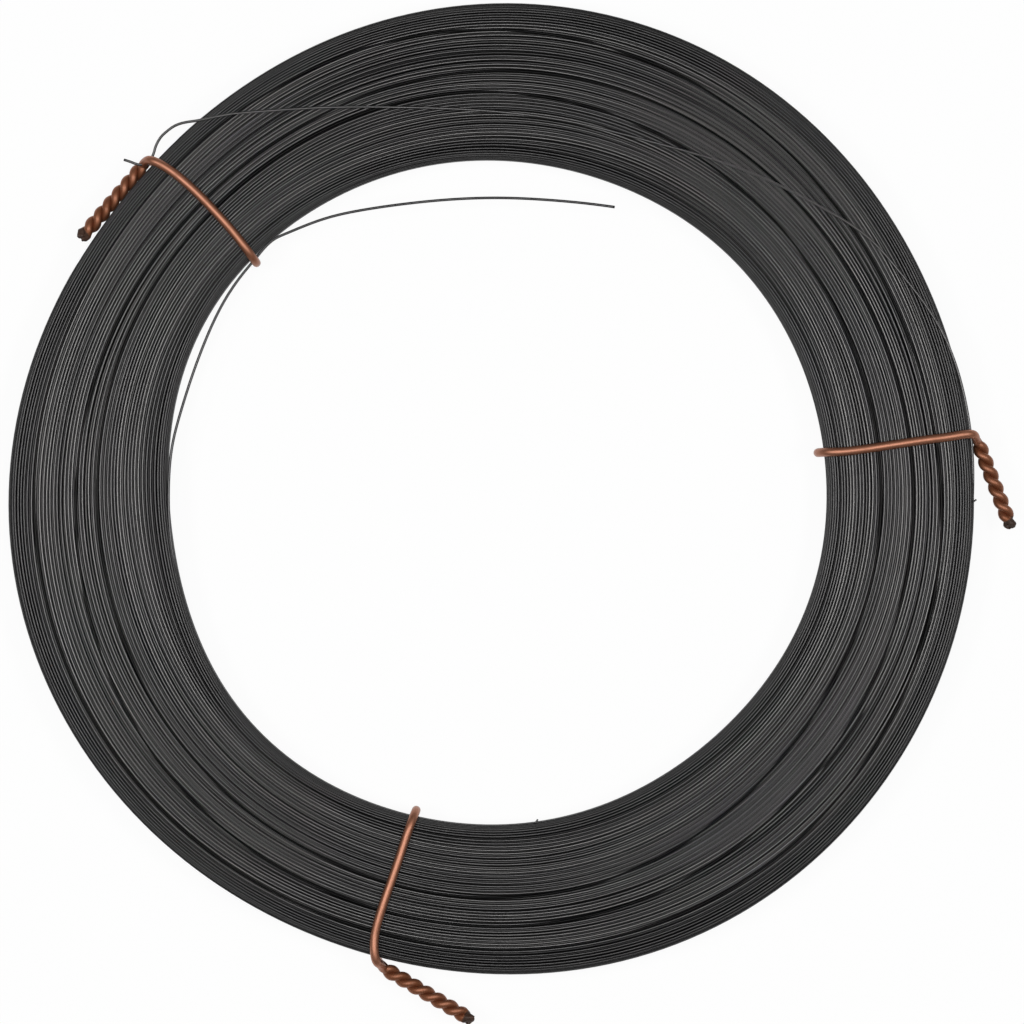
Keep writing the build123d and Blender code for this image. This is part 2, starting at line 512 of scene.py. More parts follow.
@dataclass
class WoundTurns:
    """The turns that show, each a ring of wire that wanders among its neighbours.

    Attributes:
        form: What the turns fill.
        wire: The wire's diameter.
        spacing: The mean distance between neighbours in one layer.
        wall_spacing: The mean distance between neighbours on the walls and shoulders.
        top_gap: The least gap between the outermost turns on the faces.
        unevenness: How much the distance between neighbours varies, as a share.
        parted: The share of neighbours with a wider gap between them.
        parting: How much wider that gap is, as a share of the spacing.
        layers: The depths at which turns lie.
        drift: How far bundles of turns wander sideways.
        drift_waves: The most waves of that in a full turn, and along the section's outline.
        heave: How far bundles rise and sink.
        heave_waves: The most waves of that in a full turn, and along the outline.
        stray: How far a turn wanders sideways on its own.
        bob: How far a turn rises and sinks on its own.
        own_waves: The most waves of those in a full turn.
        wave_fade: How fast a turn's own waves get smaller as they get shorter, as a power.
        bundles: How many waves make up a bundle's unevenness.
        wall_freedom: How far turns on the walls wander, as a share of those on the faces.
        wall_tone_in_shade: How pale turns on the walls may be, as a share of those on the faces; they are
            kept darker as painted shade, where the light only grazes them.
        wall_shade: How dark they are painted, as more shade on the walls and shoulders.
        inner_shade: How dark the layers under the outermost one are painted, as the shade that falls
            between the outermost turns.
        shoulder_share: Where the loose faces begin, as a share of the way across half the outline.
        shoulder_fade: How soon past that the turns are fully loose.
        wanderers: How many turns lie loose on top and cross their neighbours.
        wander: How far those wander.
        wander_waves: The most waves of that in a full turn.
        lie: The depth at which they lie.
        shade_facing: How squarely a wire's flank faces outward where its painted shade begins.
        shade_fade: How much less squarely it faces where that painted shade is full.
        stations: How many points each turn has.
        sides: How many faces go round the wire.
        settle_rounds: How often overlapping turns are pushed apart.
        reach: How many neighbours each way a turn is kept clear of.
        press: How near two turns may come, as a share of the wire's diameter.
        push: How much of an overlap one push takes away.
        tightest: The least that a length along the outline may shrink on the inside of a bend.
        pull_along: How strongly a turn is drawn home along the outline.
        pull_in: How strongly it is drawn home to its depth.
        proudest: The least depth that a turn may have.
        stiffness: How strongly the wire straightens itself.
        samples: How closely the outline is sampled for the spacing.
        seam: The angle at which each ring starts, under the right-hand tie, in degrees.
        seed: What the random draws start from.
    """

    form: PackForm
    wire: float = WIRE
    spacing: float = 0.68
    wall_spacing: float = 0.55
    top_gap: float = 0.07
    unevenness: float = 0.12
    parted: float = 0.13
    parting: float = 0.5
    layers: tuple[Layer, ...] = (Layer(0.0, 0.0), Layer(0.34, 0.5), Layer(0.66, 0.0, True))
    drift: float = 0.32
    drift_waves: tuple[int, int] = (4, 5)
    heave: float = 0.06
    heave_waves: tuple[int, int] = (3, 12)
    stray: float = 0.09
    bob: float = 0.05
    own_waves: int = 7
    wave_fade: float = 0.7
    bundles: int = 60
    wall_freedom: float = 0.35
    # Painted shade on the walls, the shoulders and the layers under the outermost one
    wall_tone_in_shade: float = 0.3
    wall_shade: float = 0.25
    inner_shade: float = 0.52
    shoulder_share: float = 0.16
    shoulder_fade: float = 0.04
    wanderers: int = 4
    wander: float = 1.1
    wander_waves: int = 2
    lie: float = -0.35
    shade_facing: float = 0.95
    shade_fade: float = 0.6
    stations: int = 216
    sides: int = 8
    settle_rounds: int = 50
    reach: int = 10
    press: float = 0.985
    push: float = 0.25
    tightest: float = 0.4
    pull_along: float = 0.03
    pull_in: float = 0.06
    proudest: float = -0.3
    stiffness: float = 0.25
    samples: int = 2000
    seam: float = 6.8
    seed: int = 20

    def __post_init__(self) -> None:
        """Lays the turns, lets them settle and adds the loose ones."""
        self.draw = np.random.default_rng(self.seed)
        self.angle = math.radians(self.seam) + np.arange(self.stations) / self.stations * FULL_TURN
        self._lay()
        self._settle()
        self._cross()

    def _bundle_waves(self, home: np.ndarray, reach: float, most: tuple[int, int]) -> np.ndarray:
        """A slow unevenness that neighbouring turns share.

        Args:
            home: Each turn's distance along the outline.
            reach: Its root mean square size.
            most: The most waves in a full turn round the coil, and along the section's outline.

        Returns:
            One value for each turn and station.
        """
        lobes = self.draw.integers(0, most[0] + 1, self.bundles)
        folds = self.draw.integers(-most[1], most[1] + 1, self.bundles)
        phase = self.draw.uniform(0, FULL_TURN, self.bundles)
        waves = np.zeros((len(home), self.stations))
        for lobe, fold, start in zip(lobes, folds, phase):
            waves += np.cos(lobe * self.angle + fold * home[:, None] / self.form.length * FULL_TURN + start)
        return waves * reach * math.sqrt(2 / self.bundles)

    def _own_waves(self, turns: int, reach: float, most_lobes: int) -> np.ndarray:
        """An unevenness of each turn's own.

        Args:
            turns: How many turns there are.
            reach: Its root mean square size.
            most_lobes: The most waves in a full turn round the coil.

        Returns:
            One value for each turn and station.
        """
        waves = np.zeros((turns, self.stations))
        total = 0.0
        for lobe in range(1, most_lobes + 1):
            share = lobe**-self.wave_fade
            total += share**2 / 2
            waves += share * np.cos(lobe * self.angle + self.draw.uniform(0, FULL_TURN, (turns, 1)))
        return waves * reach / math.sqrt(total)

    def _looseness(self, along: np.ndarray) -> np.ndarray:
        """How loosely the turns lie: 1 on the faces, and 0 on the walls and shoulders."""
        share = np.mod(along / self.form.length, 0.5) * 2
        return np.clip((np.minimum(share, 1 - share) - self.shoulder_share) / self.shoulder_fade, 0, 1)

    def _lay(self) -> None:
        """Gives every turn its home on the section and its layer."""
        fine = np.linspace(0, self.form.length, self.samples)
        spacing = self.wall_spacing + (self.spacing - self.wall_spacing) * self._looseness(fine)
        tally = np.concatenate([[0], np.cumsum(1 / spacing)[:-1]])
        count = round(tally[-1] * fine[1])
        gaps = 1 + self.unevenness * self.draw.uniform(-1, 1, count)
        gaps += np.where(self.draw.uniform(0, 1, count) < self.parted, self.parting, 0.0)
        outermost = np.interp(np.cumsum(gaps) / gaps.sum() * tally[-1], tally, fine)
        home, depth = [], []
        for layer in self.layers:
            between = np.roll(outermost, -1)
            between[-1] += self.form.length
            places = outermost * (1 - layer.shift) + between * layer.shift
            if layer.upper_face_only:
                places = places[(self._looseness(places) > 0.5) & (places < self.form.length / 2)]
            home.append(places)
            depth.append(np.full(len(places), layer.depth))
        order = np.argsort(np.concatenate(home), kind="stable")
        self.home = np.concatenate(home)[order]
        self.layer_depth = np.concatenate(depth)[order]
        self._wander()

    def _wander(self) -> None:
        """Gives every turn its wander, its tone and its painted shade."""
        turns = len(self.home)
        loose = self._looseness(self.home)
        free = (self.wall_freedom + (1 - self.wall_freedom) * loose)[:, None]
        drift = self._bundle_waves(self.home, self.drift, self.drift_waves)
        self.home_along = self.home[:, None] + drift * free
        self.home_along += self._own_waves(turns, self.stray, self.own_waves) * free
        heave = self._bundle_waves(self.home, self.heave, self.heave_waves)
        self.home_depth = self.layer_depth[:, None] + heave * free
        self.home_depth += self._own_waves(turns, self.bob, self.own_waves) * free
        # Turns on the walls and shoulders are kept darker, and those under the outermost layer are
        # darkened, as painted shade.
        self.tone = self.draw.uniform(0, 1, turns) * (self.wall_tone_in_shade + (1 - self.wall_tone_in_shade) * loose)
        self.age = self.wall_shade * (1 - loose) + np.where(self.layer_depth > 0, self.inner_shade, 0.0)

    def _settle(self) -> None:
        """Pushes overlapping turns apart, and keeps each near its home and as smooth as stiff wire."""
        along, depth = self.home_along.copy(), self.home_depth.copy()
        for _ in range(self.settle_rounds):
            for ahead in range(1, self.reach + 1):
                self._push_apart(along, depth, ahead)
            along += (self.home_along - along) * self.pull_along
            depth += (self.home_depth - depth) * self.pull_in
            depth = np.maximum(depth, self.proudest)
            for values in (along, depth):
                values += self.stiffness * (np.roll(values, 1, 1) + np.roll(values, -1, 1) - 2 * values)
        self.along, self.depth = along, depth

    def _push_apart(self, along: np.ndarray, depth: np.ndarray, ahead: int) -> None:
        """Moves each turn and one of its neighbours off each other where they overlap.

        Args:
            along: Each turn's distances along the outline, which are changed.
            depth: Each turn's depths, which are changed.
            ahead: How many places further on the neighbour lies.
        """
        topmost = np.where(self.layer_depth == 0, self._looseness(self.home), 0.0)[:, None]
        beyond, under = np.roll(along, -ahead, 0), np.roll(depth, -ahead, 0)
        beyond[-ahead:] += self.form.length
        middle = (depth + under) / 2 + self.wire / 2
        shrink = np.clip(1 - self.form.bend_rate((along + beyond) / 2) * middle, self.tightest, 1)
        apart, lower = (beyond - along) * shrink, under - depth
        distance = np.maximum(np.hypot(apart, lower), SAME_PLACE)
        least = self.wire * self.press + self.top_gap * topmost * np.roll(topmost, -ahead, 0)
        push = np.clip(least - distance, 0, None) * self.push
        move_along, move_depth = push * apart / distance, push * lower / distance
        along -= move_along
        depth -= move_depth
        along += np.roll(move_along, ahead, 0)
        depth += np.roll(move_depth, ahead, 0)

    def _cross(self) -> None:
        """Adds the loose turns that lie on top of the faces and cross the others at a slant."""
        places = np.flatnonzero((self.layer_depth == 0) & (self._looseness(self.home) == 1))
        chosen = self.draw.choice(places, self.wanderers, replace=False)
        wide = self._own_waves(self.wanderers, self.wander, self.wander_waves)
        self.along = np.concatenate([self.along, self.along[chosen] + wide])
        self.depth = np.concatenate([self.depth, np.full(wide.shape, self.lie)])
        self.home = np.concatenate([self.home, self.home[chosen]])
        self.tone = np.concatenate([self.tone, self.tone[chosen]])
        self.age = np.concatenate([self.age, np.zeros(self.wanderers)])

    def _rings(self, chosen: np.ndarray) -> MeshParts:
        """The arrays of some of the turns.

        Args:
            chosen: The numbers of the turns.

        Returns:
            Their arrays, as one closed ring of wire for each turn.
        """
        radius = self.wire / 2
        reach, height = self.form.section(self.along[chosen], self.depth[chosen] + radius, self.angle)
        lean = np.arange(self.sides) / self.sides * FULL_TURN - math.pi / 2
        out = reach[..., None] + radius * np.cos(lean)
        up = height[..., None] + radius * np.sin(lean)
        turned = self.angle[None, :, None]
        points = np.stack([out * np.cos(turned), out * np.sin(turned), up], -1)
        quads, chart = wrap_faces(self.stations, self.sides, closed=True)
        number = np.arange(len(chosen))[:, None, None]
        charts = np.repeat(chart[None], len(chosen), 0)
        charts[..., 1] = (number + RING_MARGIN + (1 - 2 * RING_MARGIN) * charts[..., 1]) / len(chosen)
        tone = self.tone[chosen][:, None, None]
        straight = np.empty(points.shape)
        straight[..., 0] = (self.angle - self.angle[0])[None, :, None] * reach.mean(1)[:, None, None]
        straight[..., 1] = radius * np.cos(lean)
        straight[..., 2] = radius * np.sin(lean) + tone * TONE_STEP
        return MeshParts(
            points=points.reshape(-1, 3),
            faces=[(quads[None] + number * self.stations * self.sides).reshape(-1, 4)],
            straight=straight.reshape(-1, 3),
            tone=np.broadcast_to(tone, points.shape[:3]).reshape(-1),
            age=self._flank_shading(chosen, reach, height, lean).reshape(-1),
            charts=[charts.reshape(-1, 4, 2)],
        )

    def _flank_shading(
        self, chosen: np.ndarray, reach: np.ndarray, height: np.ndarray, lean: np.ndarray
    ) -> np.ndarray:
        """How dark each point of some turns is painted as shade: most on the flanks, which face their
        neighbours.

        Args:
            chosen: The numbers of the turns.
            reach: How far from the axis each turn's middle is at each station.
            height: How high it is.
            lean: The angles of the points round the wire, in radians.

        Returns:
            The painted shade of each turn, station and point round the wire.
        """
        over, above = self.form.section(self.along[chosen], np.zeros((1, 1)), self.angle)
        outward = np.stack([over - reach, above - height], -1)
        outward /= np.linalg.norm(outward, axis=-1, keepdims=True)
        facing = outward[..., :1] * np.cos(lean) + outward[..., 1:] * np.sin(lean)
        # Painted shade on the flanks, darkest where they face the neighbouring turns.
        flank_shade = np.clip((self.shade_facing - facing) / self.shade_fade, 0, 1)
        unshaded_share = 1 - self.age[chosen][:, None, None]
        return 1 - unshaded_share * (1 - flank_shade)

    def build(self, steel: "SteelFinish") -> list[bpy.types.Object]:
        """Makes one piece for each band of the outline.

        Args:
            steel: The wire's finish.

        Returns:
            The pieces.
        """
        made = []
        share = np.mod(self.home / self.form.length, 1)
        for band in Band:
            name, start, stop = band.value
            chosen = np.flatnonzero(((share - start) % 1) < (stop - start))
            parts = self._rings(chosen)
            made.append(parts.piece(name, Slot.STEEL, steel.material()))
            triangles = 2 * len(chosen) * self.stations * self.sides
            log.info("%s: %d turns, %d triangles", name, len(chosen), triangles)
        return made


@dataclass
class PackHeart:
    """The turns that never show, as one plain ring inside the others, painted near black as the shade seen
    between the outer turns.

    Attributes:
        form: The pack's form.
        depth: How far inside the outline its surface lies.
        age: How dark it is painted, as the shade deep inside the pack.
        stations: How many sections it has round the coil.
        ribs: How many points each section has.
    """

    form: PackForm
    depth: float = 0.85
    age: float = 0.95
    stations: int = 180
    ribs: int = 60

    def build(self, steel: "SteelFinish") -> bpy.types.Object:
        """Makes the ring.

        Args:
            steel: The wire's finish.

        Returns:
            The piece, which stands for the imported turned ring.
        """
        angle = np.arange(self.stations) / self.stations * FULL_TURN
        along = np.arange(self.ribs)[::-1] / self.ribs * self.form.length
        out, up = self.form.section(along[None], np.full((1, 1), self.depth), angle[:, None])
        up = np.broadcast_to(up, out.shape)
        points = np.stack([out * np.cos(angle[:, None]), out * np.sin(angle[:, None]), up], -1)
        quads, chart = wrap_faces(self.stations, self.ribs, closed=True)
        round_it = np.broadcast_to(angle[:, None] * self.form.rim.mean, out.shape)
        # Painted shade: the whole ring is darkened to near black.
        parts = MeshParts(
            points=points.reshape(-1, 3),
            faces=[quads],
            straight=np.stack([round_it, out, up], -1).reshape(-1, 3),
            tone=np.zeros(out.size),
            age=np.full(out.size, self.age),
            charts=[chart],
        )
        made = parts.piece("hidden_turns", Slot.STEEL, steel.material())
        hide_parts("music_wire")
        log.info("%s: %d triangles", made.name, 2 * len(quads))
        return made


# The wire's two ends


def round_place(degrees: float, radius: float, height: float) -> tuple[float, float, float]:
    """The point at this angle round the coil, distance from its axis and height."""
    turned = math.radians(degrees)
    return radius * math.cos(turned), radius * math.sin(turned), height


@dataclass
class FreeEnd:
    """A free end of the music wire, as a smooth springy line.

    Attributes:
        name: The piece's name.
        stops: The places that it passes.
        tone: Its tone, from 0 for the darkest turns to 1 for the palest.
        wire: The wire's diameter.
        step: The spacing of its points.
        sides: How many faces go round it.
    """

    name: str
    stops: list[tuple[float, float, float]]
    tone: float = 0.0
    wire: float = WIRE
    step: float = 0.7
    sides: int = 12

    def build(self, steel: "SteelFinish") -> bpy.types.Object:
        """Makes the end.

        Args:
            steel: The wire's finish.

        Returns:
            The piece.
        """
        line = smooth_route(self.stops, self.step)
        radius = np.full(len(line), self.wire / 2)
        parts = rounded_tube(line, radius, self.sides, self.tone, np.zeros(len(line)))
        made = parts.piece(self.name, Slot.STEEL, steel.material())
        log.info("%s: %d triangles", self.name, 2 * len(line) * self.sides)
        return made


def inner_end() -> FreeEnd:
    """The innermost turn, which stands off the bore wall, and its end, which crosses the bore.

    Returns:
        The end.
    """
    wall = [
        round_place(208, 62.0, 6.6), round_place(200, 61.3, 7.1), round_place(192, 60.7, 7.5),
        round_place(184, 60.33, 7.6), round_place(178, 60.2, 7.65), round_place(172, 60.1, 7.65),
        round_place(166, 59.75, 7.65), round_place(160, 59.7, 7.65), round_place(152.5, 60.15, 7.65),
        round_place(144.7, 60.95, 7.62), round_place(139.7, 61.28, 7.6), round_place(135.5, 61.5, 7.6),
    ]
    crossing = [
        (-40.7, 46.3, 7.6), (-38.6, 47.3, 7.6), (-36.2, 48.3, 7.6), (-31.15, 50.15, 7.6),
        (-24.5, 51.65, 7.62), (-17.56, 52.68, 7.62), (-8.32, 53.6, 7.62), (0.92, 53.9, 7.63),
        (10.17, 53.49, 7.63), (19.41, 52.57, 7.63), (22.1, 52.2, 7.63),
    ]
    return FreeEnd("wire_inner_end", wall + crossing)


def outer_end() -> FreeEnd:
    """The outermost turn's end, which crosses the upper face and ducks under the left-hand tie.

    Returns:
        The end.
    """
    rising = [
        round_place(-4, 88.2, 6.9), round_place(4, 88.35, 7.6), round_place(11, 88.3, 8.0),
        round_place(18, 87.7, 8.5),
    ]
    over_face = [
        (79.11, 34.38, 9.3), (74.31, 40.48, 9.52), (69.5, 45.84, 9.6), (60.44, 51.94, 9.64),
        (51.39, 56.6, 9.66), (41.77, 60.44, 9.66), (29.02, 64.1, 9.66), (15.16, 67.6, 9.66),
        (-0.92, 69.8, 9.66), (-17.56, 70.5, 9.62), (-32.35, 70.43, 9.5), (-43.62, 69.75, 9.22),
        (-50.2, 69.05, 8.97), (-55.3, 68.05, 8.6),
    ]
    beside_tie = [
        (-57.5, 67.72, 8.35), (-59.3, 67.05, 8.1), (-60.5, 66.2, 7.85), (-61.5, 65.3, 7.7),
        (-62.2, 64.3, 7.5), (-62.7, 63.2, 7.35), (-63.05, 62.0, 7.25), (-63.7, 60.95, 7.15),
        (-64.65, 60.15, 7.2), (-65.78, 60.05, 7.3), (-67.1, 60.5, 7.4), (-68.5, 60.95, 7.45),
    ]
    return FreeEnd("wire_outer_end", rising + over_face + beside_tie, tone=0.45)


def burrs() -> list[FreeEnd]:
    """Two cut ends of turns that only just stand out, one at the rim and one in the bore.

    Returns:
        The two ends.
    """
    at_rim = [(-1.5, 88.1, 8.2), (-1.32, 88.45, 8.25), (-1.15, 88.8, 8.2)]
    in_bore = [(-83.3, 61.9, 8.3), (-82.9, 61.65, 8.3), (-82.6, 61.25, 8.3)]
    thinned, close = 0.32, 0.2
    return [
        FreeEnd(name, [round_place(*stop) for stop in stops], wire=thinned, step=close)
        for name, stops in (("burr_rim", at_rim), ("burr_bore", in_bore))
    ]


# The copper ties


@dataclass
class CopperTie:
    """A loop of copper wire round the pack, with its two ends twisted round each other.

    Attributes:
        name: The piece's name.
        node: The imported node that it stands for.
        angle: Where it goes round the coil, in degrees.
        way: 1 if its tail runs anticlockwise along the rim, and -1 if clockwise.
        splay: How far the tail turns away from the rim's tangent, in degrees.
        tail: The tail's length, from the loop.
        stand_off: How far the tail's axis stands off the rim.
        bow: How far the loop is out of line at even steps from the bore to the rim.
        form: The pack's form.
        wire: The copper wire's diameter.
        strand: A strand's diameter in the tail, where the pliers drew it thinner.
        offset: How far each strand is from the tail's axis.
        pitch: The length of one full twist.
        twist_stops: How many stops a full twist's line has.
        nipped: How much nearer the axis the strands are at the tip, as a share.
        slack: How much further than the faces the loop stands off the bore's wall.
        slack_share: The share of the pack's outline by which that slack is gone.
        touch: How far it stands off the faces.
        loop_shares: Where its stops lie, as shares of the pack's outline.
        bow_reach: The shares of the width between which the bow is read.
        turn_down: Where it leaves the rim's shoulder: how far along the tail's way, how far out
            from the tail's axis, and how far from the pack's middle height.
        turn_in: Where its two ends come together, in the same way.
        bend: The length of the bend from the loop into the tail.
        step: The spacing of its points.
        sides: How many faces go round it.
        char: The length of the browned, ragged tip.
    """

    name: str
    node: str
    angle: float
    way: int
    splay: float
    tail: float
    stand_off: float
    bow: tuple[float, ...]
    form: PackForm
    wire: float = 1.63
    strand: float = 1.56
    offset: float = 0.67
    pitch: float = 5.05
    twist_stops: int = 12
    nipped: float = 0.3
    slack: float = 0.25
    slack_share: float = 0.06
    touch: float = 0.08
    loop_shares: tuple[float, ...] = (0.0, 0.022, 0.045, 0.07, 0.1, 0.16, 0.23, 0.3, 0.36, 0.41)
    bow_reach: tuple[float, float] = (-0.02, 0.98)
    turn_down: tuple[float, float, float] = (0.3, -0.45, 3.5)
    turn_in: tuple[float, float, float] = (1.1, 0.05, 1.9)
    bend: float = 2.2
    step: float = 0.28
    sides: int = 16
    char: float = 2.1

    def __post_init__(self) -> None:
        """Works out where the tail starts and which way it runs."""
        lean = math.radians(self.angle + self.way * (90 - self.splay))
        self.tail_way = np.array([math.cos(lean), math.sin(lean), 0])
        self.tail_out = float(self.form.rim.radius(math.radians(self.angle))) + self.stand_off
        self.tail_root = np.array(round_place(self.angle, self.tail_out, self.form.middle))

    def _over_pack(self) -> list[tuple[float, float, float]]:
        """The loop's upper half, from the bore wall's middle to where the tail starts.

        Returns:
            Its stops: how far sideways and out each is, and how far above the pack's middle.
        """
        form, turned = self.form, np.array(math.radians(self.angle))
        sway = np.polyfit(np.linspace(0, 1, len(self.bow)), self.bow, len(self.bow) - 1)
        stops = []
        for share in self.loop_shares:
            along = np.array(form.length * share)
            out, up = form.section(along, np.array(-self.touch - self.wire / 2), turned)
            across = float(np.clip((float(out) - form.bore.mean) / form.width, *self.bow_reach))
            out = float(out) - self.slack * max(0.0, 1 - share / self.slack_share)
            stops.append((float(np.polyval(sway, across)), out, float(up) - form.middle))
        for side, out, up in (self.turn_down, self.turn_in):
            stops.append((self.way * side, self.tail_out + out, up))
        return stops

    def _strand_line(self, phase: float) -> list[np.ndarray]:
        """One strand of the tail, from the rim to its tip.

        Args:
            phase: Where on the tail's axis it starts, in radians from the top.

        Returns:
            Its stops.
        """
        up = np.array([0, 0, 1.0])
        across = np.cross(up, self.tail_way)
        stops = []
        for at in np.arange(self.bend, self.tail + 0.01, self.pitch / self.twist_stops):
            turned = phase + FULL_TURN * (at - self.bend) / self.pitch
            away = up * math.cos(turned) + across * math.sin(turned)
            closer = 1 - self.nipped * max(0.0, 1 - (self.tail - at) / self.char) ** 0.5
            stops.append(self.tail_root + self.tail_way * at + away * self.offset * closer)
        return stops

    def line(self) -> np.ndarray:
        """The whole wire's centreline, from one tip of the tail round the loop to the other.

        Returns:
            Its points.
        """
        upper, lower = self._strand_line(0.0), self._strand_line(math.pi)
        turned = math.radians(self.angle)
        outward = np.array([math.cos(turned), math.sin(turned), 0])
        beside = np.array([-math.sin(turned), math.cos(turned), 0])
        middle = np.array([0, 0, self.form.middle])
        over = self._over_pack()
        top = [outward * out + beside * side + middle + np.array([0, 0, up]) for side, out, up in over]
        bottom = [outward * out + beside * side + middle - np.array([0, 0, up]) for side, out, up in over]
        stops = upper[::-1] + top[::-1] + bottom[1:] + lower
        return smooth_route(stops, self.step)

    def build(self, copper: "CopperFinish") -> bpy.types.Object:
        """Makes the tie.

        Args:
            copper: The ties' finish.

        Returns:
            The piece.
        """
        line = self.line()
        past = (line - self.tail_root) @ self.tail_way
        in_tail = np.clip(past / self.bend, 0, 1)
        radius = (self.wire * (1 - in_tail) + self.strand * in_tail) / 2
        parts = rounded_tube(line, radius, self.sides, tone=0.5, age=np.zeros(len(line)))
        TailWear().weather(parts, self)
        made = parts.piece(self.name, Slot.COPPER, copper.material())
        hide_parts(self.node)
        log.info("%s: %d triangles", self.name, 2 * len(line) * self.sides)
        return made


@dataclass(frozen=True)
class TailWear:
    """How a tie's tail has aged: browned, most of all between its strands, with a dark ragged tip.

    Attributes:
        starts: How far before the tail the browning starts.
        full: Over what length it comes up.
        tail_age: How browned the tail is.
        crevice_age: How much more it is between the strands.
        crevice_reach: How far from the axis that goes, in strand diameters.
        tip_age: How much more the tip is.
        waves: How many waves make up the tip's ragged surface.
        wave_rate: How fine they are, in radians a millimetre.
        bump: How high they are.
        worn: How much thinner the tip is.
        nearest: The least distance from the axis that a point is taken to have.
    """

    starts: float = 1.0
    full: float = 2.5
    tail_age: float = 0.3
    crevice_age: float = 0.45
    crevice_reach: float = 1.25
    tip_age: float = 0.9
    waves: int = 14
    wave_rate: float = 3.4
    bump: float = 0.085
    worn: float = 0.12
    nearest: float = 0.05

    def weather(self, parts: MeshParts, tie: CopperTie) -> None:
        """Ages a tie's arrays.

        Args:
            parts: The arrays, whose points and age are changed.
            tie: The tie that they are of.
        """
        draw = np.random.default_rng(int(tie.angle * 10))
        away = parts.points - tie.tail_root
        past = away @ tie.tail_way
        outward = away - past[:, None] * tie.tail_way
        from_axis = np.linalg.norm(outward, axis=1)
        in_tail = np.clip((past + self.starts) / self.full, 0, 1)
        crevice = np.clip(self.crevice_reach - from_axis / tie.strand, 0, 1) * in_tail
        ragged = np.clip((past - tie.tail + tie.char) / tie.char, 0, 1)
        age = self.tail_age * in_tail + self.crevice_age * crevice + self.tip_age * np.sqrt(ragged)
        parts.age = np.clip(age, 0, 1)
        bumps = np.zeros(len(parts.points))
        for _ in range(self.waves):
            wave = draw.normal(0, self.wave_rate, 3)
            bumps += np.sin(parts.points @ wave + draw.uniform(0, FULL_TURN))
        outward /= np.maximum(from_axis, self.nearest)[:, None]
        parts.points += outward * (bumps * self.bump * ragged - self.worn * ragged**2)[:, None]


def three_ties(form: PackForm) -> list[CopperTie]:
    """The ties, each with its own place, tail and bow.

    Args:
        form: The pack's form.

    Returns:
        The right, the left and the bottom tie.
    """
    right = CopperTie(
        "tie_right_wire", "tie_right", angle=6.8, way=-1, splay=14.5, tail=18.9, stand_off=1.0,
        bow=(-0.3, -0.6, -0.37, -0.22, 0.0), form=form,
    )
    left = CopperTie(
        "tie_left_wire", "tie_left", angle=136.1, way=1, splay=-3.1, tail=19.6, stand_off=1.15,
        bow=(0.25, -0.85, -1.3, -1.15, 0.5), form=form,
    )
    bottom = CopperTie(
        "tie_bottom_wire", "tie_bottom", angle=255.8, way=1, splay=16.3, tail=20.8, stand_off=1.35,
        bow=(0.35, -0.35, -0.9, -1.4, -0.35), form=form,
    )
    return [right, left, bottom]


# Shader graphs and finishes

LINES_RANGE = 0.3, 0.75
SLOW_RANGE = 0.25, 0.75


class Graph:
    """A node tree that is being filled."""

    def __init__(self, tree: bpy.types.NodeTree) -> None:
        """Starts on a tree.

        Args:
            tree: The tree to fill.
        """
        self.tree = tree

    def add(self, kind: str, settings: dict | None = None, **values: object) -> bpy.types.Node:
        """Adds a node.

        Args:
            kind: The node's type.
            settings: The node's own properties.
            **values: Its inputs by name, with _ for a space, as values or as sockets to link.

        Returns:
            The node.
        """
        node = self.tree.nodes.new(kind)
        for key, value in (settings or {}).items():
            setattr(node, key, value)
        for key, value in values.items():
            self.feed(node, key.replace("_", " "), value)
        return node

    def feed(self, node: bpy.types.Node, name: str | int, value: object) -> None:
        """Sets an input to a value or links a socket to it.

        Args:
            node: The node.
            name: The input's name or number.
            value: The value, or the socket to link.
        """
        if isinstance(value, bpy.types.NodeSocket):
            self.tree.links.new(value, node.inputs[name])
        else:
            node.inputs[name].default_value = value

    def group(self, tree: bpy.types.NodeTree, **values: object) -> bpy.types.NodeSocket:
        """The first output of a node group, with these values."""
        return self.add("ShaderNodeGroup", {"node_tree": tree}, **values).outputs[0]

    def carried(self, label: str, output: str = "Fac") -> bpy.types.NodeSocket:
        """What a mesh's points carry under this label."""
        return self.add("ShaderNodeAttribute", {"attribute_name": label}).outputs[output]

    def math(self, way: str, *values: object) -> bpy.types.NodeSocket:
        """A sum, product or other result of numbers.

        Args:
            way: What to do with them.
            *values: The numbers, as values or sockets.

        Returns:
            The result.
        """
        node = self.add("ShaderNodeMath", {"operation": way})
        for i, value in enumerate(values):
            self.feed(node, i, value)
        return node.outputs[0]

    def times(self, value: object, share: object) -> bpy.types.NodeSocket:
        """The product of two numbers."""
        return self.math("MULTIPLY", value, share)

    def mix_color(self, share: object, first: object, second: object) -> bpy.types.NodeSocket:
        """A colour between two others.

        Args:
            share: How much of the second one there is, from 0 to 1.
            first: The first colour, as a value or a socket.
            second: The second colour.

        Returns:
            The mixed colour.
        """
        node = self.add("ShaderNodeMix", {"data_type": "RGBA"})
        for name, kind, value in (("Factor", "VALUE", share), ("A", "RGBA", first), ("B", "RGBA", second)):
            number = next(i for i, s in enumerate(node.inputs) if s.name == name and s.type == kind)
            self.feed(node, number, value)
        return next(s for s in node.outputs if s.type == "RGBA")

    def ramp(
        self, value: object, low: float, high: float, to_low: float = 0.0, to_high: float = 1.0
    ) -> bpy.types.NodeSocket:
        """A number brought smoothly from one range to another, and held at the range's ends.

        Args:
            value: The number.
            low: The start of its range.
            high: The end of its range.
            to_low: The start of the new range.
            to_high: The end of the new range.

        Returns:
            The new number.
        """
        node = self.add("ShaderNodeMapRange", {"interpolation_type": "SMOOTHSTEP"}, Value=value)
        ends = {"From Min": low, "From Max": high, "To Min": to_low, "To Max": to_high}
        for name, given in ends.items():
            self.feed(node, name, given)
        return node.outputs["Result"]


